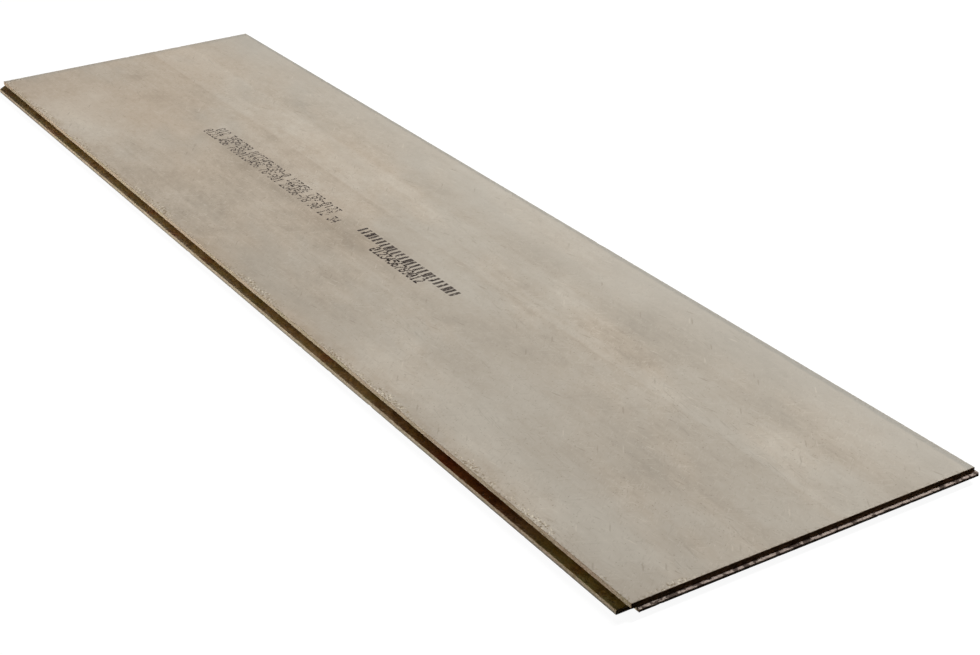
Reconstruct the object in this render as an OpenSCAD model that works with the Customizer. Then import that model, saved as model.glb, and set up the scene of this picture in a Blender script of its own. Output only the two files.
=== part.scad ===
// Tongue-and-groove particleboard floor panel.
//
// One solid board, milled on all four edges. One long edge and one short edge
// carry a groove, the two edges across from them carry a tongue. Under each
// groove the lower lip runs out past the upper one, and under each tongue the
// board is cut back by as much, so that a neighbour's lip has room there.
//
// +X runs along the board towards the end that has the tongue, +Y runs across
// it towards the long edge that has the tongue, +Z is up, out of the walked-on
// face. The origin is at the bottom centre of the board's bounding box.

/* [Board] */
// Length of the face, shoulder to shoulder, which is the length one board covers
face_l = 2400; // [600:1:3000]
// Width of the face, shoulder to shoulder, which is the width one board covers
face_w = 600; // [200:1:1250]
// Thickness of the board
thickness = 22; // [18:0.5:38]

/* [Groove] */
// Thickness of the lip above the groove
upper_lip_t = 8.5; // [5:0.1:10]
// Height of the groove, measured at its mouth
groove_h = 5; // [3:0.1:6]
// Depth of the groove behind the edge of the upper lip
groove_d = 8; // [5:0.1:14]
// How far the lower lip runs out past the upper lip
lower_lip_l = 13; // [2:0.5:25]
// How much each cheek of the groove and of the tongue closes in over the groove's depth
cheek_taper = 0.2; // [0:0.05:0.4]
// Leg of the corner cut off where the lower lips of both edges meet
lip_corner_cut = 20; // [0:1:24]

/* [Tongue] */
// Gap between the tongue and each cheek of the groove
cheek_gap = 0.1; // [0:0.05:0.3]
// Gap between the tip of the tongue and the floor of the groove
tip_gap = 1.5; // [0.5:0.1:4]
// Gap between the outer edge of the lower lip and the shoulder it meets
lower_gap = 2; // [0:0.5:6]
// Leg of the corner cut off where the tongues of both edges meet
tongue_corner_cut = 4; // [0:0.5:6]

/* [Eased edges] */
// Bevel along the edges of the walked-on face
face_bevel = 0.4; // [0:0.1:1]
// Bevel that leads the tongue in at the mouth of the groove
mouth_bevel = 0.8; // [0:0.1:1.5]
// Bevel on both edges of the tongue's tip
tip_bevel = 0.8; // [0:0.1:1.2]
// Bevel along the outer edges of the lower lip
lip_bevel = 0.6; // [0:0.1:2]

/* [Hidden] */

// Heights of the milled steps above the underside
roof_z = thickness - upper_lip_t;
sill_z = roof_z - groove_h;
tongue_top_z = roof_z - cheek_gap;
tongue_bottom_z = sill_z + cheek_gap;

// Reach of the tongue past its shoulder, and how far the shoulder under it is cut back
tongue_l = groove_d - tip_gap;
cut_back = lower_lip_l + lower_gap;

// The tongue closes in at the groove's own rate
tongue_taper = cheek_taper * tongue_l / groove_d;

// What is added to the size of a cutting body where it passes through a face
past = 1;

// Outline of the board cut through its groove edge and its tongue edge, with the
// upper lip's edge at 0 and the upper shoulder above the tongue at face_span.
module section(face_span) {
    groove_edge = [
        [face_bevel, thickness],
        [0, thickness - face_bevel],
        [0, roof_z + mouth_bevel],
        [mouth_bevel, roof_z],
        [groove_d, roof_z - cheek_taper],
        [groove_d, sill_z + cheek_taper],
        [0, sill_z],
        [lip_bevel - lower_lip_l, sill_z],
        [-lower_lip_l, sill_z - lip_bevel],
        [-lower_lip_l, lip_bevel],
        [lip_bevel - lower_lip_l, 0]
    ];
    lower_shoulder = face_span - cut_back;
    tip = face_span + tongue_l;
    tongue_edge = [
        [lower_shoulder - lip_bevel, 0],
        [lower_shoulder, lip_bevel],
        [lower_shoulder, tongue_bottom_z],
        [face_span, tongue_bottom_z],
        [tip - tip_bevel, tongue_bottom_z + tongue_taper],
        [tip, tongue_bottom_z + tongue_taper + tip_bevel],
        [tip, tongue_top_z - tongue_taper - tip_bevel],
        [tip - tip_bevel, tongue_top_z - tongue_taper],
        [face_span, tongue_top_z],
        [face_span, thickness - face_bevel],
        [face_span - face_bevel, thickness]
    ];
    polygon(concat(groove_edge, tongue_edge));
}

// The long edges, milled along X over the whole length
module long_edges() {
    reach = face_l + lower_lip_l + tongue_l + 2 * past;
    translate([face_l + tongue_l + past, 0, 0])
        rotate([90, 0, -90])
            mirror([1, 0, 0])
                linear_extrude(height = reach)
                    section(face_w);
}

// The short edges, milled along Y over the whole width
module short_edges() {
    reach = face_w + lower_lip_l + tongue_l + 2 * past;
    translate([0, face_w + tongue_l + past, 0])
        rotate([90, 0, 0])
            linear_extrude(height = reach)
                section(face_l);
}

// A body that takes a right-angled corner off, with both legs as long as leg, from
// height low to height high. The corner lies at the origin and the board behind it.
module corner_cut(leg, low, high) {
    translate([0, 0, low])
        linear_extrude(height = high - low)
            polygon([[-leg, 0], [-leg, past], [past, past], [past, -leg], [0, -leg]]);
}

// The corner taken off where the tongues of both edges meet
module tongue_corner() {
    translate([face_l + tongue_l, face_w + tongue_l, 0])
        corner_cut(tongue_corner_cut, sill_z, roof_z);
}

// The corner taken off where the lower lips of both edges meet
module lip_corner() {
    translate([-lower_lip_l, -lower_lip_l, 0])
        rotate([0, 0, 180])
            corner_cut(lip_corner_cut, -past, sill_z + past);
}

// The whole board: what the long-edge and the short-edge cutters both leave
module panel() {
    middle_x = (face_l + tongue_l - lower_lip_l) / 2;
    middle_y = (face_w + tongue_l - lower_lip_l) / 2;
    color([0.68, 0.63, 0.56])
        translate([-middle_x, -middle_y, 0])
            difference() {
                intersection() {
                    long_edges();
                    short_edges();
                }
                if (tongue_corner_cut > 0) tongue_corner();
                if (lip_corner_cut > 0) lip_corner();
            }
}

panel();
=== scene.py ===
"""Looks of the tongue-and-groove particleboard floor panel.

The board is shown as three slabs, one for each step of its milled edges: the face
layer with the lip over the groove, the tongue layer, and the back layer with the
long lower lip. Each slab is one closed mesh whose edges are torn a little, as a
cutter leaves chipboard. The marking on the face is rows of ink dots.
"""

import math
import random

import bpy
from mathutils import Matrix, Vector, noise


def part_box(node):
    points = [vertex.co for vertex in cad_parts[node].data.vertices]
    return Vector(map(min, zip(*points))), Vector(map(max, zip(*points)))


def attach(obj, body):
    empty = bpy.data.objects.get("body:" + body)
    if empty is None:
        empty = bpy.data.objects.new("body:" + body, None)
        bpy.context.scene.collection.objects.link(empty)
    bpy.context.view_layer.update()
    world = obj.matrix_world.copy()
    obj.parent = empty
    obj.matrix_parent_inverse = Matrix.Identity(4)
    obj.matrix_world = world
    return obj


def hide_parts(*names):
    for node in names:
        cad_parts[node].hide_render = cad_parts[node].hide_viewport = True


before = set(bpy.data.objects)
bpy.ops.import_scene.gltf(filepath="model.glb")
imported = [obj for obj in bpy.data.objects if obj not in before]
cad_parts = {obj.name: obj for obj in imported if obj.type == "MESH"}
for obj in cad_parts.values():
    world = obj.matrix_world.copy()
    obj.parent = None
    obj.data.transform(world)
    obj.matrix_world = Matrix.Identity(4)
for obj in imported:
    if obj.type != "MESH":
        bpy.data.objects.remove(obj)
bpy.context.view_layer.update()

MM = 0.001
BOARD_LOW, BOARD_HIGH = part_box("panel")

# Steps of the milled edges
LOWER_LIP = 13 * MM
TONGUE = 6.5 * MM
GROOVE_DEPTH = 8 * MM
CUT_BACK = 15 * MM
ROOF = 13.5 * MM
SILL = 8.5 * MM
CHEEK_TAPER = 0.2 * MM
CHEEK_GAP = 0.1 * MM
TONGUE_CORNER_CUT = 4 * MM
LIP_CORNER_CUT = 20 * MM

# Bevels, in millimetres as the rings take them. EASED is an arris that is only eased.
FACE_BEVEL = 0.4
MOUTH_BEVEL = 0.8
TIP_BEVEL = 0.8
LIP_BEVEL = 0.6
EASED = 0.1

# Outline of the walked-on face
FACE_X0 = BOARD_LOW.x + LOWER_LIP
FACE_Y0 = BOARD_LOW.y + LOWER_LIP
FACE_X1 = BOARD_HIGH.x - TONGUE
FACE_Y1 = BOARD_HIGH.y - TONGUE

# The ink stands this far above the sanded face
INK_FILM = 0.03 * MM
FACE_Z = BOARD_HIGH.z - INK_FILM

# Steps along a long side, a short side and a cut corner of a slab's outline, and how
# often they are halved on the way to the middle
LONG_STEPS = 1280
SHORT_STEPS = 320
CUT_STEPS = 16
HALVINGS = 4
# A cut corner keeps at least this leg, and an edge turned by more than this stays sharp
LEAST_CUT = 1 * MM
SHARP_TURN = math.radians(38)

# The bake map: its size, the gap between its parts, the rows that a hidden side gets,
# the strips that a long edge is cut in, and how far the halves of a side overlap
MAP_SIZE = 1024
MAP_GAP = 4
HIDDEN_ROWS = 6
STRIPS = 4
FOLD_LAP = 20 * MM


def put_in_scene(name, data):
    made = bpy.data.objects.new(name, data)
    bpy.context.scene.collection.objects.link(made)
    return made


def share(value, low, high):
    """How far value lies from low to high, held between 0 and 1."""
    return min(max((value - low) / (high - low), 0.0), 1.0)


def behind_lip(x, y):
    """How far a place lies behind the edge of the lip over the groove."""
    return min(x - FACE_X0, y - FACE_Y0)


def past_shoulder(x, y):
    """How far a place lies past the shoulder over the tongue."""
    return max(x - FACE_X1, y - FACE_Y1)


def groove_roof(x, y):
    return ROOF - CHEEK_TAPER * share(behind_lip(x, y), 0, GROOVE_DEPTH)


def groove_sill(x, y):
    return SILL + CHEEK_TAPER * share(behind_lip(x, y), 0, GROOVE_DEPTH)


def tongue_top(x, y):
    return ROOF - CHEEK_GAP - CHEEK_TAPER * share(past_shoulder(x, y), 0, GROOVE_DEPTH)


def tongue_bottom(x, y):
    return SILL + CHEEK_GAP + CHEEK_TAPER * share(past_shoulder(x, y), 0, GROOVE_DEPTH)


# ---- Torn chipboard


def torn_pit(place, size, rarity, seed):
    """Depth from 0 to 1 of the hollow that a torn-out chip leaves at a place."""
    spot = Vector((place.x / size[0] + seed, place.y / size[1], place.z / size[2] - seed))
    distances, points = noise.voronoi(spot)
    if noise.cell(points[0] * 7.31) < rarity:
        return 0.0
    return max(0.0, 1.0 - distances[0] * 1.9)


def cutter_tear(place):
    """How deep the cutter has torn the milled surface at a place, in metres."""
    rough = 0.5 + 0.5 * noise.noise(place / (2.6 * MM))
    chip = torn_pit(place, (6.0 * MM, 6.0 * MM, 1.7 * MM), 0.62, 3.0)
    hole = torn_pit(place, (4.0 * MM, 4.0 * MM, 2.4 * MM), 0.86, 17.0)
    return (0.10 * rough + 0.34 * chip + 0.70 * hole) * MM


def arris_chip(place):
    """How much of a sharp edge has broken away at a place, in metres."""
    patch = share(0.5 + 0.5 * noise.noise(place / (70 * MM)), 0.4, 0.75)
    nick = torn_pit(place, (6.0 * MM, 6.0 * MM, 6.0 * MM), 0.70, 9.0)
    bite = torn_pit(place, (15.0 * MM, 15.0 * MM, 9.0 * MM), 0.78, 21.0)
    fray = 0.5 + 0.5 * noise.noise(place / (4.2 * MM))
    return (0.22 * fray + (1.5 * nick + 1.9 * bite) * patch) * MM


# ---- Slabs


class Ring:
    """One closed line round a slab, with lengths in millimetres. insets are how far in
    it lies from the outline on the groove and on the tongue sides, or one number for
    both, up its height as a share of the slab's and offsets what is added to that on
    either side, tear and chip how much of the tearing and of the arris chips it takes,
    and buried how far it is moved up on the tongue sides, into the next layer."""

    def __init__(self, insets, up, offsets=(0, 0), tear=0.0, chip=0.0, buried=0.0):
        insets = insets if isinstance(insets, tuple) else (insets, insets)
        self.insets = tuple(value * MM for value in insets)
        self.offsets = tuple(value * MM for value in offsets)
        self.up, self.tear, self.chip, self.buried = up, tear, chip, buried * MM


class Slab:
    """A board layer with torn edges, built ring by ring from the middle of its top,
    over its edge and back to the middle of its underside."""

    def __init__(self, name, outline, heights, cuts, thick, strip_rows, shown):
        """heights are functions of x and y that give its underside and its top. Its
        bake map needs the last three: how thick it is, the rows for each strip of its
        edge, and which of top (0) and underside (2) can be seen."""
        self.name = name
        self.x0, self.x1, self.y0, self.y1 = outline
        self.bottom, self.top = heights
        self.low_cut, self.high_cut = cuts
        self.thick, self.strip_rows, self.shown = thick, strip_rows, shown
        self.places, self.tears, self.chips = [], [], []
        self.faces, self.maps, self.zones = [], [], []

    def corners(self, insets):
        """Corner points of the outline moved in, from the groove side's low end."""
        low, high = insets
        x0, y0 = self.x0 + low, self.y0 + low
        x1, y1 = self.x1 - high, self.y1 - high
        # How much a cut corner's leg shrinks as the outline moves in
        slack = 2 - math.sqrt(2)
        points = [(x0, y0), (x1, y0), (x1, y1), (x0, y1)]
        if self.high_cut:
            leg = max(self.high_cut - slack * high, LEAST_CUT)
            points[2:3] = [(x1, y1 - leg), (x1 - leg, y1)]
        if self.low_cut:
            leg = max(self.low_cut - slack * low, LEAST_CUT)
            points[0:1] = [(x0 + leg, y0)]
            points.append((x0, y0 + leg))
        return points

    def steps(self, halved=0):
        """Steps on each run of the outline, and whether the run has the tongue."""
        long, short, cut = (n >> halved for n in (LONG_STEPS, SHORT_STEPS, CUT_STEPS))
        runs = [(long, 0), (short, 1)]
        if self.high_cut:
            runs.append((cut, 1))
        runs += [(long, 1), (short, 0)]
        if self.low_cut:
            runs.append((cut, 0))
        return runs

    def add_place(self, place, tear=0.0, chip=0.0):
        """Adds a place and returns its number."""
        self.places.append(place)
        self.tears.append(tear)
        self.chips.append(chip)
        return len(self.places) - 1

    def lay(self, ring, halved=0):
        """Adds the places of one ring and returns the number of its first one."""
        first = len(self.places)
        corners = self.corners(ring.insets)
        runs = self.steps(halved)
        for number, (count, side) in enumerate(runs):
            (ax, ay), (bx, by) = corners[number], corners[(number + 1) % len(runs)]
            before = runs[number - 1][1]
            for step in range(count):
                t = step / count
                x, y = ax + (bx - ax) * t, ay + (by - ay) * t
                offset = ring.offsets[side]
                if step == 0:
                    offset = (offset + ring.offsets[before]) / 2
                if side == 1:
                    # Not buried where the groove runs out through a tongue side
                    inside = share(behind_lip(x, y), GROOVE_DEPTH - MM, GROOVE_DEPTH + MM)
                    offset += ring.buried * inside
                low, high = self.bottom(x, y), self.top(x, y)
                z = low + (high - low) * ring.up + offset
                self.add_place((x, y, z), ring.tear, ring.chip)
        return first

    def add_face(self, zone, *corners):
        """Adds a face. Each corner is a place's number and its spot on the bake map."""
        self.faces.append([place for place, _ in corners])
        self.maps.append([spot for _, spot in corners])
        self.zones.append(zone)

    def add_flat(self, zone, layout, face):
        """Adds a face of the top or the underside, given as it is seen from above."""
        face = face[::-1] if zone == 2 else face
        spots = [layout.flat(zone, self.places[n], face) for n in face]
        self.add_face(zone, *zip(face, spots))

    def build(self, rings, zones, finishes, reach):
        """rings run from the middle of the top to the middle of the underside. zones
        gives the row of faces at which the edge zone starts and the one at which it
        ends; rows before are the top, rows after the underside. reach is how far in
        the coarse rings lie."""
        total = sum(count for count, _ in self.steps())
        layout = MapLayout(self, rings, zones, total)

        def coarse(halved, up):
            return self.lay(Ring(reach[halved - 1], up), halved)

        top_coarse = [coarse(halved, 1) for halved in range(HALVINGS, 0, -1)]
        fine = [self.lay(ring) for ring in rings]
        bottom_coarse = [coarse(halved, 0) for halved in range(1, HALVINGS + 1)]

        self.fill_middle(top_coarse[0], 0, layout)
        chain = top_coarse + [fine[0]]
        for number in range(HALVINGS):
            self.widen(chain[number], chain[number + 1], HALVINGS - number, 0, layout)
        for row in range(len(rings) - 1):
            zone = 0 if row < zones[0] else 1 if row < zones[1] else 2
            for step in range(total):
                after = (step + 1) % total
                ends = [(row, step), (row + 1, step), (row + 1, step + 1), (row, step + 1)]
                numbers = [fine[r] + s for (r, _), s in zip(ends, (step, step, after, after))]
                spots = [
                    layout.spot(zone, r, s, self.places[number], step, numbers)
                    for (r, s), number in zip(ends, numbers)
                ]
                self.add_face(zone, *zip(numbers, spots))
        chain = [fine[-1]] + bottom_coarse
        for number in range(HALVINGS):
            self.widen(chain[number + 1], chain[number], number + 1, 2, layout)
        self.fill_middle(bottom_coarse[-1], 2, layout)
        return self.finish(finishes)

    def widen(self, inner, outer, halved, zone, layout):
        """Joins a ring to one with twice its steps that lies outside it."""
        count = sum(n for n, _ in self.steps(halved))
        for step in range(count):
            a, b = inner + step, inner + (step + 1) % count
            f = [outer + (2 * step + k) % (2 * count) for k in range(3)]
            for face in ((a, f[0], f[1]), (a, f[1], b), (b, f[1], f[2])):
                self.add_flat(zone, layout, face)

    def fill_middle(self, first, zone, layout):
        """Fills the inmost ring with a grid of plain quads."""
        runs = [count for count, _ in self.steps(HALVINGS)]
        long, short = runs[0], runs[1]
        starts = [first + sum(runs[:n]) for n in range(len(runs))]
        right = starts[1]
        far, left = starts[3:5] if self.high_cut else starts[2:4]
        height = self.places[first][2]
        # Numbers of the grid's places, by column and row
        grid = {}
        for column in range(long + 1):
            for row in range(short + 1):
                if row == 0:
                    grid[column, row] = starts[0] + column
                elif row == short:
                    grid[column, row] = far + (long - column)
                elif column == long:
                    grid[column, row] = right + row
                elif column == 0:
                    grid[column, row] = left + (short - row)
                else:
                    v = row / short
                    low = self.places[starts[0] + column]
                    high = self.places[far + (long - column)]
                    x, y = (low[axis] * (1 - v) + high[axis] * v for axis in (0, 1))
                    grid[column, row] = self.add_place((x, y, height))
        # A cut corner has two places where the grid has one
        extra = {}
        if self.low_cut:
            extra[0, 0] = [first + sum(runs) - 1, first]
        if self.high_cut:
            extra[long, short] = [starts[2], far]
        for column in range(long):
            for row in range(short):
                face = []
                for right_by, far_by in ((0, 0), (1, 0), (1, 1), (0, 1)):
                    key = column + right_by, row + far_by
                    face += extra.get(key, [grid[key]])
                self.add_flat(zone, layout, face)

    def finish(self, finishes):
        """Makes the mesh, tears its edges and gives it its map and finishes."""
        mesh = bpy.data.meshes.new(self.name)
        mesh.from_pydata(self.places, [], self.faces)
        mesh.validate()
        mesh.update()
        outward = [vertex.normal.copy() for vertex in mesh.vertices]
        torn = []
        for place, normal, tear, chip in zip(
            map(Vector, self.places), outward, self.tears, self.chips
        ):
            if tear:
                place = place - normal * tear * cutter_tear(place)
            if chip:
                place = place - normal * chip * arris_chip(place)
            torn.extend(place)
        mesh.vertices.foreach_set("co", torn)
        mesh.update()
        layer = mesh.uv_layers.new(name="OFBake")
        spots = [value for face in self.maps for spot in face for value in spot]
        layer.data.foreach_set("uv", spots)
        for finish in finishes:
            mesh.materials.append(finish)
        mesh.polygons.foreach_set("material_index", self.zones)
        mesh.polygons.foreach_set("use_smooth", [True] * len(mesh.polygons))
        mesh.set_sharp_from_angle(angle=SHARP_TURN)
        mesh.update()
        return put_in_scene(self.name, mesh)


class MapLayout:
    """Where each face of a slab lies on its square bake map. Top and underside are
    each cut in two halves, and the edge is cut in strips laid above each other."""

    def __init__(self, slab, rings, zones, total):
        self.slab = slab
        self.middle = (slab.x0 + slab.x1) / 2
        # First and last step of each strip. A cut corner joins the strip before it.
        bounds, at = [], 0
        for count, _ in slab.steps():
            if count == LONG_STEPS:
                length = count // STRIPS
                bounds += [(at + n * length, at + (n + 1) * length) for n in range(STRIPS)]
            elif count == SHORT_STEPS:
                bounds.append((at, at + count))
            else:
                bounds[-1] = (bounds[-1][0], at + count)
            at += count
        self.strips = bounds
        self.strip_of = [0] * total
        for number, (start, end) in enumerate(bounds):
            for step in range(start, end):
                self.strip_of[step] = number
        # Rows of the edge zone, spaced by the longer of the groove's and the tongue's path
        low, high = zones
        self.level = {low: 0.0}
        for row in range(low, high):
            gaps = []
            for side in (0, 1):
                a, b = rings[row], rings[row + 1]
                rise = (a.up - b.up) * slab.thick + a.offsets[side] - b.offsets[side]
                gaps.append(math.hypot(a.insets[side] - b.insets[side], rise))
            self.level[row + 1] = self.level[row] + max(gaps)
        # What the strips and the gaps leave goes to the two halves of top and underside
        strips = len(bounds) * (slab.strip_rows + MAP_GAP)
        free = MAP_SIZE - 5 * MAP_GAP - strips
        shown = free / 2 - HIDDEN_ROWS
        self.rows = {zone: shown if zone in slab.shown else HIDDEN_ROWS for zone in (0, 2)}
        self.base, at = {}, MAP_GAP
        for zone in (0, 2):
            pitch = self.rows[zone] + MAP_GAP
            self.base[zone] = (at, at + pitch)
            at = at + pitch + pitch
        self.strip_base = at

    def flat(self, zone, place, face):
        """The spot on the map of a corner of a face on the top or the underside."""
        slab = self.slab
        centre = sum(slab.places[n][0] for n in face) / len(face)
        half = 0 if centre < self.middle else 1
        start = slab.x0 if half == 0 else self.middle - FOLD_LAP
        u = (place[0] - start) / (self.middle - slab.x0 + FOLD_LAP)
        v = (place[1] - slab.y0) / (slab.y1 - slab.y0)
        return self.place_on_map(u, v, self.base[zone][half], self.rows[zone])

    def spot(self, zone, row, step, place, start_step, face):
        """The spot on the map of a corner, by its ring and step. start_step is the
        step at which the corner's face starts."""
        if zone != 1:
            return self.flat(zone, place, face)
        strip = self.strip_of[start_step]
        first, last = self.strips[strip]
        u = (step - first) / (last - first)
        v = self.level[row] / max(self.level.values())
        rows = self.slab.strip_rows
        return self.place_on_map(u, v, self.strip_base + strip * (rows + MAP_GAP), rows)

    @staticmethod
    def place_on_map(u, v, base, rows):
        """u runs across the map, and v up the rows that start at base."""
        across = MAP_SIZE - 2 * MAP_GAP
        return (MAP_GAP + u * across) / MAP_SIZE, (base + v * rows) / MAP_SIZE


def face_layer(finishes):
    """The top slab: the walked-on face and the lip over the groove."""
    made = Slab(
        "face_layer",
        (FACE_X0, FACE_X1, FACE_Y0, FACE_Y1),
        (groove_roof, lambda x, y: FACE_Z),
        (0, 0),
        FACE_Z - ROOF,
        20,
        (0,),
    )
    rings = [Ring(inset, 1) for inset in (14, 8, 4.5)]
    rings += [
        Ring(2.5, 1, chip=0.1),
        Ring(1.3, 1, chip=0.4),
        Ring(FACE_BEVEL, 1, tear=0.2, chip=1),
        Ring(0, 1, (-FACE_BEVEL, -FACE_BEVEL), tear=0.5, chip=0.8),
        Ring(0, 0.78, tear=1, chip=0.3),
        Ring(0, 0.6, tear=1),
        Ring(0, 0.42, tear=1),
        Ring(0, 0.25, tear=1),
        Ring(0, 0, (MOUTH_BEVEL, EASED), tear=0.8, chip=0.3, buried=-1.1),
        Ring((MOUTH_BEVEL, EASED), 0, tear=0.6, chip=0.5, buried=-1.0),
        Ring(2.4, 0, tear=0.8, buried=-1.0),
        Ring(4.2, 0, tear=0.7),
        Ring(6.2, 0, tear=0.3),
        Ring(8.6, 0),
        Ring(14, 0),
    ]
    return made.build(rings, (5, 16), finishes, (20, 30, 46, 72))


def tongue_layer(finishes):
    """The middle slab: the tongue, and the floor of the groove."""
    made = Slab(
        "tongue_layer",
        (FACE_X0 + GROOVE_DEPTH, BOARD_HIGH.x, FACE_Y0 + GROOVE_DEPTH, BOARD_HIGH.y),
        (tongue_bottom, tongue_top),
        (0, TONGUE_CORNER_CUT),
        ROOF - SILL - 2 * CHEEK_GAP,
        92,
        (),
    )
    rings = [
        Ring(14, 1),
        Ring(8.6, 1),
        Ring(6.4, 1, tear=0.2),
        Ring(5, 1, tear=0.7),
        Ring(3.4, 1, tear=1),
        Ring(2, 1, tear=1, chip=0.2),
        Ring((EASED, TIP_BEVEL), 1, tear=0.7, chip=0.6),
        Ring(0, 1, (-EASED, -TIP_BEVEL), tear=0.7, chip=0.6),
        Ring(0, 0.66, tear=1),
        Ring(0, 0.34, tear=1),
        Ring(0, 0, (EASED, TIP_BEVEL), tear=0.7, chip=0.5),
        Ring((EASED, TIP_BEVEL), 0, tear=0.7, chip=0.5),
    ]
    rings += [
        Ring(inset, 0, tear=tear)
        for inset, tear in (
            (3, 0.9), (6, 0.9), (9, 0.9), (12, 0.9), (15, 0.9), (18, 0.6), (20.6, 0.15),
            (22.6, 0), (26, 0),
        )
    ]
    return made.build(rings, (1, 19), finishes, (32, 42, 58, 84))


def back_layer(finishes):
    """The bottom slab: the underside and the long lower lip."""
    made = Slab(
        "back_layer",
        (BOARD_LOW.x, FACE_X1 - CUT_BACK, BOARD_LOW.y, FACE_Y1 - CUT_BACK),
        (lambda x, y: BOARD_LOW.z, groove_sill),
        (LIP_CORNER_CUT, 0),
        SILL,
        34,
        (2,),
    )
    rings = [Ring(26, 1), Ring(22.6, 1), Ring(20.6, 1, tear=0.2)]
    rings += [
        Ring(inset, 1, tear=tear, chip=chip, buried=0.7)
        for inset, tear, chip in (
            (18.4, 0.8, 0), (16.4, 1, 0), (14.4, 1, 0), (12.4, 1, 0), (10.4, 1, 0),
            (8.4, 1, 0), (6.4, 1, 0), (4.4, 1, 0), (2.4, 1, 0.2),
        )
    ]
    rings += [
        Ring((LIP_BEVEL, EASED), 1, tear=0.7, chip=0.8, buried=0.7),
        Ring(0, 1, (-LIP_BEVEL, -EASED), tear=0.7, chip=0.8, buried=0.7),
        Ring(0, 0.74, tear=1, chip=0.2),
        Ring(0, 0.52, tear=1),
        Ring(0, 0.3, tear=1),
        Ring(0, 0, (LIP_BEVEL, LIP_BEVEL), tear=0.6, chip=0.8),
        Ring(LIP_BEVEL, 0, tear=0.1, chip=0.8),
        Ring(1.6, 0, chip=0.35),
        Ring(3, 0, chip=0.1),
        Ring(6, 0),
        Ring(14, 0),
    ]
    return made.build(rings, (1, 18), finishes, (32, 42, 58, 84))


# ---- Finishes


def paint(red, green, blue):
    """A colour written in 0-255 display values, as a linear one."""
    linear = []
    for value in (red, green, blue):
        value /= 255
        linear.append(value / 12.92 if value <= 0.04045 else ((value + 0.055) / 1.055) ** 2.4)
    return (*linear, 1.0)


class Wire:
    """What a node gives out, so that sums on it are written as Python sums."""

    def __init__(self, finish, socket):
        self.finish, self.socket = finish, socket

    def sum(self, operation, *values):
        return self.finish.node("ShaderNodeMath", {"operation": operation}, values)

    def __add__(self, other):
        return self.sum("ADD", self, other)

    def __radd__(self, other):
        return self.sum("ADD", other, self)

    def __sub__(self, other):
        return self.sum("SUBTRACT", self, other)

    def __rsub__(self, other):
        return self.sum("SUBTRACT", other, self)

    def __mul__(self, other):
        return self.sum("MULTIPLY", self, other)

    def __rmul__(self, other):
        return self.sum("MULTIPLY", other, self)

    def __truediv__(self, other):
        return self.sum("DIVIDE", self, other)

    def __rtruediv__(self, other):
        return self.sum("DIVIDE", other, self)

    def __pow__(self, power):
        return self.sum("POWER", self, power)

    def least(self, other):
        return self.sum("MINIMUM", self, other)

    def most(self, other):
        return self.sum("MAXIMUM", self, other)

    def beside(self, output):
        """Another output of the same node."""
        return Wire(self.finish, self.socket.node.outputs[output])


class NodeTree:
    """The nodes of a material or of the world."""

    def __init__(self, owner):
        owner.use_nodes = True
        self.owner, self.tree = owner, owner.node_tree
        self.tree.nodes.clear()

    def node(self, kind, settings=None, values=(), output=0):
        """Adds a node: its settings first, then the values or wires of its sockets."""
        made = self.tree.nodes.new(kind)
        for name, value in (settings or {}).items():
            if name == "stops":
                self.set_stops(made.color_ramp, value)
            else:
                setattr(made, name, value)
        pairs = values.items() if isinstance(values, dict) else enumerate(values)
        for key, value in pairs:
            if isinstance(value, Wire):
                self.tree.links.new(value.socket, made.inputs[key])
            else:
                made.inputs[key].default_value = value
        return Wire(self, made.outputs[output]) if made.outputs else None

    @staticmethod
    def set_stops(ramp, stops):
        while len(ramp.elements) < len(stops):
            ramp.elements.new(0.5)
        for element, (position, colour) in zip(ramp.elements, stops):
            element.position, element.color = position, colour

    def seen_directly(self):
        """1 where the camera sees a thing itself or in a gloss, 0 for other light."""
        camera = self.node("ShaderNodeLightPath", output="Is Camera Ray")
        passed = camera.beside("Is Transmission Ray")
        return camera.most(camera.beside("Is Glossy Ray")).most(passed)


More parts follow.
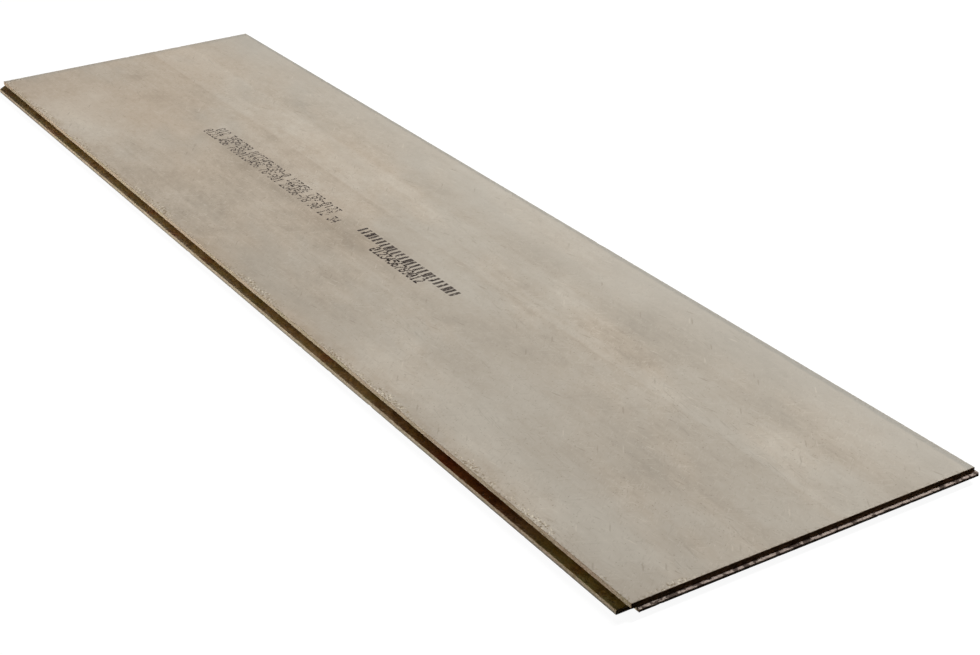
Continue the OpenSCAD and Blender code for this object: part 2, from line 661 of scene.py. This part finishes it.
class Finish(NodeTree):
    """A material made of nodes. Places and sizes inside it are in millimetres."""

    def __init__(self, name):
        super().__init__(bpy.data.materials.new(name))
        place = self.node("ShaderNodeTexCoord", output="Object")
        self.place = self.vectors("SCALE", {"Vector": place, "Scale": 1 / MM})
        self.x, self.y, self.z = (
            self.node("ShaderNodeSeparateXYZ", None, [self.place], axis) for axis in "XYZ"
        )

    def vectors(self, operation, values, output=0):
        """A sum on places, as the plain sums are on numbers."""
        return self.node("ShaderNodeVectorMath", {"operation": operation}, values, output)

    def step(self, value, low, high):
        """0 below low and 1 above high, or the other way round, with a soft change."""
        return self.node(
            "ShaderNodeMapRange",
            {"interpolation_type": "SMOOTHSTEP"},
            {"Value": value, "From Min": low, "From Max": high},
        )

    def near(self, value, middle, close, far):
        """1 where value is within close of middle, and 0 from far on."""
        return self.step(((value - middle) ** 2) ** 0.5, far, close)

    def blend(self, factor, first, second, how="MIX"):
        return self.node(
            "ShaderNodeMix",
            {"data_type": "RGBA", "blend_type": how},
            {0: factor, 6: first, 7: second},
            2,
        )

    def stain(self, amount, colour, tint):
        """Darkens a colour by a tint, as a stain does."""
        return self.blend(amount, colour, tint, "MULTIPLY")

    def ramp(self, value, stops):
        return self.node("ShaderNodeValToRGB", {"stops": stops}, [value])

    def spread(self, size, turn=0.0, shift=0.0):
        """The place, measured in units of size and turned about the upright axis."""
        turned = self.node(
            "ShaderNodeVectorRotate",
            {"rotation_type": "Z_AXIS"},
            {"Vector": self.place, "Angle": math.radians(turn)},
        )
        scaled = self.vectors("DIVIDE", [turned, size])
        return self.vectors("ADD", [scaled, (shift, shift * 0.7, -shift * 1.3)])

    def cloud(self, size, detail=2.0, shift=0.0, turn=0.0):
        """Soft noise, from about 0.2 to 0.8, with lumps of that size."""
        size = size if isinstance(size, tuple) else (size, size, size)
        return self.node(
            "ShaderNodeTexNoise",
            None,
            {"Vector": self.spread(size, turn, shift), "Scale": 1.0, "Detail": detail},
        )

    def chips(self, size, turn, shift, ragged=0.12):
        """Wood chips of that length, width and thickness, laid flat and turned: two
        random numbers for each chip, and how far a place is from its middle."""
        place = self.spread(size, turn, shift)
        wobble = self.node(
            "ShaderNodeTexNoise", None, {"Vector": place, "Scale": 3.1, "Detail": 1.0}, "Color"
        )
        shaken = self.vectors("MULTIPLY_ADD", [wobble, (ragged * 2,) * 3, place])
        cells = self.node("ShaderNodeTexVoronoi", None, {"Vector": shaken, "Scale": 1.0}, "Color")
        parts = self.node("ShaderNodeSeparateColor", None, [cells])
        return parts, parts.beside("Green"), cells.beside("Distance")

    def surface(self, colour, roughness, height, specular=0.25):
        """The finished surface. height is in millimetres."""
        relief = {"Strength": 1.0, "Distance": MM, "Height": height}
        bump = self.node("ShaderNodeBump", None, relief)
        sockets = {
            "Base Color": colour, "Roughness": roughness, "Normal": bump,
            "Specular IOR Level": specular,
        }
        return self.node_out(self.node("ShaderNodeBsdfPrincipled", None, sockets))

    def node_out(self, shader):
        self.node("ShaderNodeOutputMaterial", None, [shader])
        return self.owner


class BoardFinish(Finish):
    """A finish of the board, with places along and across it from the groove end and the
    groove side of its face."""

    def __init__(self, name):
        super().__init__(name)
        self.along, self.across = self.x - FACE_X0 / MM, self.y - FACE_Y0 / MM


BARK = paint(96, 78, 60)
DULL = paint(156, 145, 130)
BOARD = paint(180, 168, 152)
PALE = paint(193, 184, 170)
STRAW = paint(212, 203, 187)

# Places on a sanded face that are paler or, below 0, darker: middle along and across
# it, length, width and strength
DULL_PLACES = (
    (300, 50, 300, 110, 0.20), (1130, 90, 560, 190, -0.06), (1490, 290, 190, 90, 0.20),
    (1800, 60, 420, 110, 0.16), (1810, 400, 210, 80, -0.10), (900, 210, 280, 90, -0.08),
    (60, 40, 120, 60, -0.05), (2180, 40, 260, 120, 0.18), (1190, 240, 170, 90, -0.08),
    (2100, 195, 150, 70, -0.09), (2345, 300, 120, 80, 0.12), (1800, 490, 220, 130, -0.07),
    (60, 100, 110, 60, 0.09), (300, 170, 130, 70, 0.08), (890, 130, 130, 80, -0.08),
    (240, 20, 180, 70, 0.08), (180, 150, 100, 60, 0.09), (110, 455, 100, 50, 0.09),
    (700, 30, 150, 60, -0.07), (450, 545, 120, 50, 0.08), (700, 300, 130, 50, 0.08),
)


def add_drifts(f, tones):
    """Adds what is bigger than a chip to the tones of a sanded face: mottling, streaks
    along the board, wide drifts, the edges of the sanding belts and the dull places."""
    mottle = f.cloud((26, 12, 12), 4.0, 1.0, 20) - 0.5
    blots = f.cloud((95, 60, 60), 3.0, 3.0, -25) - 0.5
    streaks = f.cloud((900, 7, 9), 2.0, 7.0) - 0.5
    bands = f.cloud((2600, 60, 40), 1.0, 19.0) - 0.5
    drifts = f.cloud((210, 130, 130), 2.0, 33.0, 15) - 0.5
    patches = f.cloud((420, 240, 260), 2.0, 31.0) - 0.5
    dull = 0
    for x, y, long, wide, strength in DULL_PLACES:
        off = (((f.along - x) / long) ** 2 + ((f.across - y) / wide) ** 2) ** 0.5
        dull = dull + f.step(off, 1.0, 0.1) * strength
    belts = f.step(f.across, 352, 358) * 0.10 - f.step(f.across, 446, 455) * 0.08
    return (
        tones + mottle * 0.25 + blots * 0.28 + streaks * 0.14 + bands * 0.20
        + drifts * 0.26 + patches * 0.28 + belts + dull
    )


def lay_flakes(f, colour, flake):
    """Bigger flakes and fibres that show through the fine ones."""
    splinter, _, _ = f.chips((16, 1.8, 0.8), -63, 47.0, 0.3)
    shiver, _, _ = f.chips((12, 1.7, 0.8), -9, 49.0, 0.34)
    fleck, _, _ = f.chips((2.4, 1.2, 0.8), -8, 53.0)
    colour = f.blend(f.step(flake, 0.93, 0.96) * 0.20, colour, STRAW)
    colour = f.blend(f.step(flake, 0.07, 0.04) * 0.26, colour, DULL)
    for sliver in (splinter, shiver):
        colour = f.blend(f.step(sliver, 0.975, 0.985) * 0.24, colour, STRAW)
        colour = f.blend(f.step(sliver, 0.025, 0.015) * 0.28, colour, DULL)
    return f.blend(f.step(fleck, 0.010, 0.007) * 0.40, colour, BARK)


def warm_and_cold(f, colour):
    """Warm at the groove end, greyer towards the tongue end and in drifts between."""
    warmth = f.cloud((380, 200, 200), 2.0, 67.0) - f.along / 5200 - f.across / 3200
    colour = f.blend(f.step(warmth, 0.05, 0.62) * 0.30, colour, paint(186, 164, 140))
    cold = f.cloud((300, 120, 120), 3.0, 69.0, 12) + f.along / 9000
    colour = f.blend(f.step(cold, 0.50, 0.78) * 0.42, colour, paint(164, 158, 147))
    return f.blend(f.step(f.across, 430, 600) * 0.50, colour, paint(180, 175, 165))


def scuffs_and_knocks(f, colour):
    """Scuffs where something has been dragged across, and knocks from handling, which
    are short soft marks, some dark and some pale."""
    scuff = f.step(f.cloud((34, 2.6, 3), 2.0, 79.0, 8), 0.60, 0.72)
    scuffed = f.step(f.cloud((260, 90, 90), 1.0, 81.0), 0.50, 0.66)
    colour = f.blend(scuff * scuffed * 0.30, colour, paint(140, 132, 120))
    for turn, shift in ((-14, 57.0), (35, 61.0)):
        knock, kind, far = f.chips((23, 3.0, 0.9), turn, shift, 0.34)
        knock = f.step(knock, 0.990, 0.993) * f.step(far, 0.62, 0.30)
        colour = f.blend(knock * f.step(kind, 0.36, 0.34) * 0.28, colour, STRAW)
        colour = f.blend(knock * f.step(kind, 0.34, 0.36) * 0.32, colour, paint(130, 119, 105))
    return colour


def crumble_rim(f, colour, crumbs, rim, wear):
    """Pale crumbs and dark frays along the rim, most of all near the groove end."""
    crumbly = f.cloud(150, 3.0, 73.0) - f.along / 26000 - f.across / 2400
    crumbly = f.step(crumbly, 0.36, 0.54)
    ragged = f.cloud(9, 3.0, 75.0) * 18 - 6
    ragged = ragged + crumbly * f.cloud(40, 1.0, 77.0) * 16
    frayed = f.step(f.cloud(4.6, 2.0, 83.0), 0.54, 0.62)
    crumbled = crumbs * f.step(rim - ragged, 6.0, -1.0) * (0.12 + crumbly * 0.62) * wear
    colour = f.blend(crumbled, colour, paint(224, 214, 192))
    frayed = frayed * f.step(rim - ragged, 6.0, -2.0) * (0.35 + crumbly * 0.40) * wear
    return f.blend(frayed, colour, paint(116, 98, 70))


def handle_rim(f, colour):
    """Soil and handling along the groove side, and a grey line along the arris on the
    tongue side and, less so, at the groove end."""
    soiled = f.step(f.cloud((36, 18, 18), 3.0, 85.0), 0.46, 0.66) * f.step(f.across, 34, 6)
    colour = f.blend(soiled * (0.34 - f.along / 9000), colour, paint(150, 132, 106))
    handled = f.step(f.across + (f.cloud((60, 20, 20), 2.0, 93.0) - 0.5) * 14, 15, 1)
    handled = handled * f.step(f.along, 2200, 1200)
    colour = f.blend(handled * 0.16, colour, paint(146, 124, 96))
    # A grey line along the arris on the tongue side and, less so, at the groove end
    grey_arris = (f.along / 2.6).least(FACE_Y1 / MM - f.y - f.along / 450)
    grey_arris = grey_arris + (f.cloud(30, 3.0, 87.0) - 0.5) * 9
    grey_arris = f.step(grey_arris, 9.0, 3.0) * (0.30 + f.step(f.along, 20, 90) * 0.12)
    return f.blend(grey_arris, colour, paint(144, 143, 137))


def sanded_finish(name, tone=0.0, wear=1.0):
    """A sanded face: fine chips pressed flat, long soft streaks left by the sanding
    belts, dull places, and a crumbly rim where the cutters have run. tone makes it
    paler or, below 0, darker, and wear says how crumbly the rim is."""
    f = BoardFinish(name)
    first, _, _ = f.chips((3.4, 1.0, 0.7), 18, 3.0)
    second, _, _ = f.chips((2.8, 0.9, 0.7), 81, 11.0)
    third, _, _ = f.chips((4.4, 1.1, 0.7), -37, 23.0)
    grain = (first + second + third) / 3 - 0.5
    dust = f.cloud(0.9, 2.0, 5.0) - 0.5
    tones = add_drifts(f, 0.5 + tone + grain * 0.075 + dust * 0.03)
    stops = ((0.0, BARK), (0.3, DULL), (0.5, BOARD), (0.7, PALE), (1.0, STRAW))
    flake, _, _ = f.chips((6.5, 1.6, 0.8), 52, 41.0)
    colour = lay_flakes(f, f.ramp(tones, stops), flake)
    colour = warm_and_cold(f, colour)
    colour = scuffs_and_knocks(f, colour)
    # How far a place lies in from the nearest edge of the face
    rim = f.along.least(FACE_X1 / MM - f.x).least(f.across).least(FACE_Y1 / MM - f.y)
    rim = rim + (f.cloud(14, 2.0, 74.0) - 0.5) * 7
    crumbs = f.step(f.cloud((6.5, 4.2, 4.2), 4.0, 71.0, 30), 0.53, 0.62)
    colour = crumble_rim(f, colour, crumbs, rim, wear)
    colour = handle_rim(f, colour)
    height = grain * 0.04 + dust * 0.03 + f.step(flake, 0.93, 0.96) * 0.010
    height = height + crumbs * f.step(rim, 10.0, 0.5) * 0.14
    return f.surface(colour, 0.72 + grain * 0.18 + dust * 0.1, height, 0.1)


def cut_chips(f):
    """The chips of a milled edge, coarse in the core and fine near both faces: a tone
    for each, and how far a place is from its middle."""
    depth = f.z.least(BOARD_HIGH.z / MM - f.z)
    core = f.step(depth + (f.cloud(9.0, 2.0, 2.0) - 0.5) * 2.4, 2.2, 4.4)
    tone, _, edge = f.chips((9.0, 2.6, 0.9), 14, 5.0)
    mid, mid_kind, mid_far = f.chips((7.0, 2.2, 0.8), 71, 13.0)
    low, low_kind, low_far = f.chips((8.0, 2.4, 0.8), -41, 29.0)
    fine, _, fine_far = f.chips((2.4, 0.9, 0.45), 33, 37.0)
    # Chips of the second and the third kind lie over the first in places
    over = f.step(mid_kind, 0.48, 0.52)
    tone, edge = tone + (mid - tone) * over, edge + (mid_far - edge) * over
    over = f.step(low_kind, 0.64, 0.68)
    tone, edge = tone + (low - tone) * over, edge + (low_far - edge) * over
    return fine + (tone - fine) * (core * 0.8 + 0.1), fine_far + (edge - fine_far) * core


def rub_tongue(f, colour, hollow, past, behind):
    """The tongue is pale and pinkish from rubbing, with dark patches across it and a darker
    tip, which is painted shade. The hollows between the chips are painted dark as shade,
    here as on the other milled edges."""
    roof, sill = ROOF / MM, SILL / MM
    tongue = f.step(past, -0.2, 0.4)
    tongue = tongue * f.step(f.z, roof - 2.0, roof - 0.9) * f.step(f.z, roof + 0.5, roof + 0.1)
    colour = f.blend(tongue * 0.7, colour, paint(188, 172, 166))
    dark_patches = f.step(f.cloud(12, 3.0, 63.0), 0.52, 0.58)
    # Painted shade in the pits between the chips, on every milled edge
    colour = f.blend(hollow * 0.55, colour, paint(60, 44, 26))
    colour = f.blend(tongue * dark_patches * 0.85, colour, paint(58, 44, 38))
    # Painted shade: the tip of the tongue is darkened
    tip = f.step(past, 5.4, 6.0).most(f.step(past, 0.0, 0.5) * f.step(behind, 9.4, 8.8))
    tip = tip * f.step(f.z, sill - 0.2, sill + 0.1) * f.step(f.z, roof + 0.2, roof - 0.1)
    return f.stain(tip * 0.85, colour, paint(104, 86, 74))


def groove_core_and_shade(f, colour, groove, side, behind):
    """The groove and the top of the lower lip are bare core, never sanded, with fibres
    and lumps in it, and painted shade: darkest in the groove and under the upper lip,
    fading out towards the lower lip's arris. side is 1 on the long side, which is
    stained and takes the full painted shade. The end, which is cut across, is plain
    brown and takes less of the painted shade."""
    fibrous = f.step(f.cloud((7.0, 1.6, 1.6), 3.0, 89.0, 35), 0.40, 0.62)
    # Mostly painted shade, partly the core's own brown: darkest in the groove and over the first
    # of the lower lip, fading out towards its arris, weaker at the end
    shade = groove * (1 - f.step(behind, -3.0, -12.5) * 0.88) * (0.62 + side * 0.38)
    colour = f.stain(shade * (0.60 + fibrous * 0.36), colour, paint(223, 183, 80))
    # Painted shade inside the groove, under the upper lip
    colour = f.blend(f.step(behind, -1.6, -0.2) * groove * 0.35, colour, paint(110, 84, 48))
    colour = f.blend(groove * fibrous * 0.24, colour, paint(158, 136, 84))
    lump = f.cloud((46, 30, 30), 3.0, 95.0)
    colour = f.blend(groove * f.step(lump, 0.53, 0.66) * 0.42, colour, paint(172, 144, 92))
    colour = f.stain(groove * f.step(lump, 0.47, 0.36) * 0.55, colour, paint(178, 166, 150))
    ochre = f.step(f.cloud((26, 12, 12), 2.0, 97.0), 0.60, 0.66)
    colour = f.blend(groove * side * ochre * 0.34, colour, paint(164, 122, 56))
    stretch = f.cloud(80, 2.0, 91.0)
    reddish, greenish = f.step(stretch, 0.54, 0.66), f.step(stretch, 0.46, 0.34)
    colour = f.stain(groove * side * reddish * 0.7, colour, paint(255, 208, 202))
    return f.stain(groove * side * greenish * 0.7, colour, paint(228, 236, 182))


def change_along_groove(f, colour, groove, side, behind):
    """Past the middle the groove turns paler and warmer, then dark red, and olive at
    the tongue end. Its first stretch is sooty."""
    warm = f.near(f.along, 1600, 120, 380) * f.step(behind, 4.0, -5.0) * groove * side
    colour = f.blend(warm * 0.13, colour, paint(240, 168, 96))
    red = f.near(f.along, 2005, 30, 300) * groove
    colour = f.stain(red, colour, paint(186, 134, 98))
    olive = f.step(f.along, 2130, 2250) * groove
    colour = f.stain(olive, colour, paint(226, 230, 186))
    sooty = f.step(f.along, 230, 60) * groove * side
    return f.stain(sooty, colour, paint(210, 213, 200))


def milled_finish(name):
    """The milled edges: the chips are cut through, coarse in the core and fine near
    both faces, with torn fibres and hollows between them that are painted dark as shade."""
    f = BoardFinish(name)
    roof, sill = ROOF / MM, SILL / MM
    tone, edge = cut_chips(f)
    fibres = f.cloud((2.8, 0.5, 0.22), 2.0, 43.0, 20) - 0.5
    dust = f.cloud(0.7, 2.0, 47.0) - 0.5
    clumps = f.cloud((28, 28, 5), 3.0, 99.0) - 0.5
    shade = 0.10 + tone * 0.78 + clumps * 0.4 + fibres * 0.30 + dust * 0.2
    stops = (
        (0.0, paint(96, 76, 52)), (0.22, paint(144, 125, 98)), (0.5, paint(177, 159, 133)),
        (0.78, paint(194, 179, 155)), (1.0, paint(214, 202, 178)),
    )
    colour = f.ramp(shade, stops)
    tint = f.cloud((60, 60, 12), 2.0, 59.0)
    colour = f.blend(f.step(tint, 0.52, 0.68) * 0.35, colour, paint(142, 140, 100))
    colour = f.blend(f.step(tint, 0.48, 0.32) * 0.30, colour, paint(184, 154, 138))
    # The fine layer next to the underside is greyer and darker
    colour = f.blend(f.step(f.z, 4.6, 3.2) * 0.75, colour, paint(112, 108, 100))
    # How far a place lies past the tongue's shoulder and behind the edge of the upper lip
    past = (f.x - FACE_X1 / MM).most(f.y - FACE_Y1 / MM)
    behind = f.along.least(f.across)
    # Pits between the chips: sunk in the bump, and painted dark as shade
    hollow = f.step(edge, 0.50, 0.72) * f.step(f.cloud(1.6, 2.0, 61.0), 0.42, 0.60)
    colour = rub_tongue(f, colour, hollow, past, behind)
    groove = f.step(behind, 12.0, 9.0) * f.step(f.z, sill - 0.5, sill - 0.2)
    groove = groove * f.step(f.z, roof + 0.4, roof - 0.05) * f.step(past, -10.0, -12.0)
    side = f.step(f.along - f.across, -25.0, 25.0)
    colour = groove_core_and_shade(f, colour, groove, side, behind)
    colour = change_along_groove(f, colour, groove, side, behind)
    # Both lips are cleaner along the middle of the board, and grubby at the groove end
    clean = f.step(f.along, 450, 1000) * f.step(f.along, 2150, 1800) * f.step(behind, 3.0, 1.0)
    colour = f.blend(clean * (1 - groove) * 0.17, colour, paint(210, 196, 172))
    grubby = f.step(f.along, 330, 180) * f.step(behind, 3.0, 1.0) * side
    colour = f.stain(grubby * (1 - groove), colour, paint(231, 229, 232))
    # Painted shade: the shoulder over the tongue is darker at the tongue end of the board, where
    # shade falls on it
    shoulder = f.step(f.x - FACE_X1 / MM, -3.0, -1.0) * f.step(f.z, roof - 0.1, roof + 0.3)
    colour = f.stain(shoulder * 0.8, colour, paint(150, 112, 84))
    height = tone * 0.16 + fibres * 0.22 + dust * 0.08 - hollow * 0.35
    return f.surface(colour, 0.86 + dust * 0.12, height, 0.03)


def ink_finish(name):
    """Grey ink that has soaked in unevenly."""
    f = Finish(name)
    soaked = f.cloud(1.4, 3.0, 2.0)
    faded = f.cloud((60, 30, 30), 2.0, 9.0)
    stops = ((0.15, paint(48, 40, 37)), (0.55, paint(63, 53, 47)), (0.95, paint(104, 91, 80)))
    colour = f.ramp(soaked * 0.8 + faded * 0.6 - 0.25, stops)
    return f.surface(colour, 0.78 + soaked * 0.1, soaked * 0.02)


# ---- Face marking

SIGNS = {
    "0": ("01110", "10001", "10011", "10101", "11001", "10001", "01110"),
    "1": ("00100", "01100", "00100", "00100", "00100", "00100", "01110"),
    "2": ("01110", "10001", "00001", "00010", "00100", "01000", "11111"),
    "3": ("11111", "00010", "00100", "00010", "00001", "10001", "01110"),
    "4": ("00010", "00110", "01010", "10010", "11111", "00010", "00010"),
    "5": ("11111", "10000", "11110", "00001", "00001", "10001", "01110"),
    "6": ("00110", "01000", "10000", "11110", "10001", "10001", "01110"),
    "7": ("11111", "00001", "00010", "00100", "01000", "01000", "01000"),
    "8": ("01110", "10001", "10001", "01110", "10001", "10001", "01110"),
    "9": ("01110", "10001", "10001", "01111", "00001", "00010", "01100"),
    "-": ("00000", "00000", "00000", "11111", "00000", "00000", "00000"),
    ".": ("00000", "00000", "00000", "00000", "00000", "01100", "01100"),
    " ": ("00000",) * 7,
}
# Each sign is seven lines of five dots, and a free column follows it
SIGN_LINES = 7
SIGN_COLUMNS = 6

# Spacing and size of the dots, how far one may lie out of place, how deep it starts
# under the face, and the share of them that the printer has missed
DOT_COLUMN = 2.2 * MM
DOT_ROW = 3.1 * MM
DOT_RADIUS = 1.75 * MM
DOT_CORNERS = 8
DOT_STRAY = 0.2 * MM
DOT_ROOT = 0.1 * MM
DOTS_MISSED = 0.05

# Both rows of the marking, in millimetres across the face from its groove side
UPPER_ROW = 268
LOWER_ROW = 245
# Signs, start in millimetres along the face from its groove end, row, and size of the
# dots beside the usual one
NUMBERS = (
    ("012 3456789 0123456789-0 123456 789-0123", 556, UPPER_ROW, 1.0),
    ("0123.456 7890123456 78-901 23456-78 90 12 34", 544, LOWER_ROW, 1.0),
    ("0123456789012", 1264, LOWER_ROW, 1.3),
)
TICKS_START = 1178
TICK_PITCH = 13.6
TICKS = 25
TICK_COLUMNS = 3
THICK_TICK_COLUMNS = 5


def ink_dots(finish):
    """Rows of plain numbers and tick marks, printed in dots along the board."""
    chance = random.Random(11)
    places, faces = [], []

    def print_dot(along, across, column, line, weight=1.0):
        if chance.random() > DOTS_MISSED:
            x = FACE_X0 + along * MM + column * DOT_COLUMN
            y = FACE_Y0 + across * MM + line * DOT_ROW
            add_dot(places, faces, x, y, DOT_RADIUS * weight, chance)

    for text, along, row, weight in NUMBERS:
        for number, sign in enumerate(text):
            for line, dots in enumerate(SIGNS[sign]):
                for column, dot in enumerate(dots):
                    if dot == "1":
                        at = number * SIGN_COLUMNS + column
                        print_dot(along, row, at, SIGN_LINES - 1 - line, weight)
    # Every fifth tick mark is thicker
    for tick in range(TICKS):
        for column in range(THICK_TICK_COLUMNS if tick % 5 == 2 else TICK_COLUMNS):
            for line in range(SIGN_LINES):
                print_dot(TICKS_START + TICK_PITCH * tick, UPPER_ROW, column, line)
    mesh = bpy.data.meshes.new("face_marking")
    mesh.from_pydata(places, [], faces)
    mesh.materials.append(finish)
    mesh.update()
    return put_in_scene("face_marking", mesh)


def add_dot(places, faces, x, y, size, chance):
    """A closed disc of ink, a little out of place and out of round."""
    x += chance.uniform(-DOT_STRAY, DOT_STRAY)
    y += chance.uniform(-DOT_STRAY, DOT_STRAY)
    radius = size * chance.uniform(0.75, 1.1)
    first = len(places)
    for z in (FACE_Z - DOT_ROOT, BOARD_HIGH.z):
        for corner in range(DOT_CORNERS):
            angle = 2 * math.pi * corner / DOT_CORNERS
            reach = radius * chance.uniform(0.88, 1.12)
            places.append((x + reach * math.cos(angle), y + reach * math.sin(angle), z))
    under = list(range(first, first + DOT_CORNERS))
    over = [n + DOT_CORNERS for n in under]
    faces.append(under[::-1])
    faces.append(over)
    for a in range(DOT_CORNERS):
        b = (a + 1) % DOT_CORNERS
        faces.append([under[a], under[b], over[b], over[a]])


# ---- Board

sanded = sanded_finish("sanded_face")
sanded_back = sanded_finish("sanded_back", -0.04, 0.35)
milled = milled_finish("milled_edge")

pieces = [
    face_layer([sanded, milled, milled]),
    tongue_layer([milled, milled, milled]),
    back_layer([milled, milled, sanded_back]),
    ink_dots(ink_finish("marking_ink")),
]
for piece in pieces:
    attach(piece, "root")
    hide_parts("panel")


# ---- Floor and lights


def floor():
    """A plain pale floor, white to the camera but for the board's soft shadow."""
    mesh = bpy.data.meshes.new("floor")
    size = 40
    mesh.from_pydata(
        [(-size, -size, 0), (size, -size, 0), (size, size, 0), (-size, size, 0)],
        [],
        [(0, 1, 2, 3)],
    )
    made = put_in_scene("floor", mesh)
    # Just under the board, so that the two faces don't lie in one plane
    made.location.z = -0.2 * MM
    f = Finish("pale_floor")
    bounce = f.node("ShaderNodeBsdfDiffuse", None, {"Color": (0.012, 0.011, 0.009, 1)})
    shaded = f.node("ShaderNodeBsdfDiffuse", None, {"Color": (1, 1, 1, 1)})
    white = f.node("ShaderNodeEmission", None, {"Color": (1, 1, 1, 1), "Strength": 1.06})
    away = f.vectors("LENGTH", [f.place], "Value")
    plain = 0.88 + f.step(away, 2200, 3800) * 0.12
    shown = f.node("ShaderNodeMixShader", None, [plain, shaded, white])
    mixed = f.node("ShaderNodeMixShader", None, [f.seen_directly(), bounce, shown])
    mesh.materials.append(f.node_out(mixed))


def softbox(name, azimuth, elevation, distance, size, power):
    """A rectangular lamp that looks at the middle of the board. Azimuth runs from +X
    to +Y."""
    light = bpy.data.lights.new(name, "AREA")
    light.shape = "RECTANGLE"
    light.size, light.size_y = size
    light.energy = power
    made = put_in_scene(name, light)
    a, e = math.radians(azimuth), math.radians(elevation)
    place = Vector((math.cos(a) * math.cos(e), math.sin(a) * math.cos(e), math.sin(e)))
    made.location = place * distance
    made.rotation_euler = place.to_track_quat("Z", "Y").to_euler()


def studio():
    """A dim room, white to the camera, with a lamp behind the tongue side, a low one on
    the groove side and a weak one off the groove end."""
    world = bpy.data.worlds.new("studio")
    bpy.context.scene.world = world
    room = NodeTree(world)
    dim = room.node(
        "ShaderNodeBackground", None, {"Color": (1.0, 0.98, 0.95, 1), "Strength": 0.009}
    )
    white = room.node("ShaderNodeBackground", None, {"Color": (1, 1, 1, 1), "Strength": 1.0})
    mixed = room.node("ShaderNodeMixShader", None, [room.seen_directly(), dim, white])
    room.node("ShaderNodeOutputWorld", None, [mixed])
    softbox("key", 82, 39, 5.6, (0.8, 1.7), 432)
    softbox("fill", -112, 6.0, 4.0, (2.8, 0.3), 180)
    softbox("rear_fill", 178, 5, 9.0, (3.0, 0.8), 150)


def camera():
    """Stands off the tongue end, to its groove side, and looks down along the board."""
    lens = bpy.data.cameras.new("camera")
    lens.sensor_width = 36.0
    lens.lens = 68.045
    lens.clip_end = 200
    made = put_in_scene("camera", lens)
    forward = Vector((-0.7591625, 0.4665751, -0.4538501)).normalized()
    up = Vector((-0.3767209, 0.2536603, 0.8909196))
    right = forward.cross(up).normalized()
    up = right.cross(forward)
    turn = Matrix((right, up, -forward)).transposed().to_4x4()
    made.matrix_world = Matrix.Translation((2.75784, -1.45461, 1.40192)) @ turn
    bpy.context.scene.camera = made


floor()
studio()
camera()
bpy.context.scene.view_settings.view_transform = "Standard"
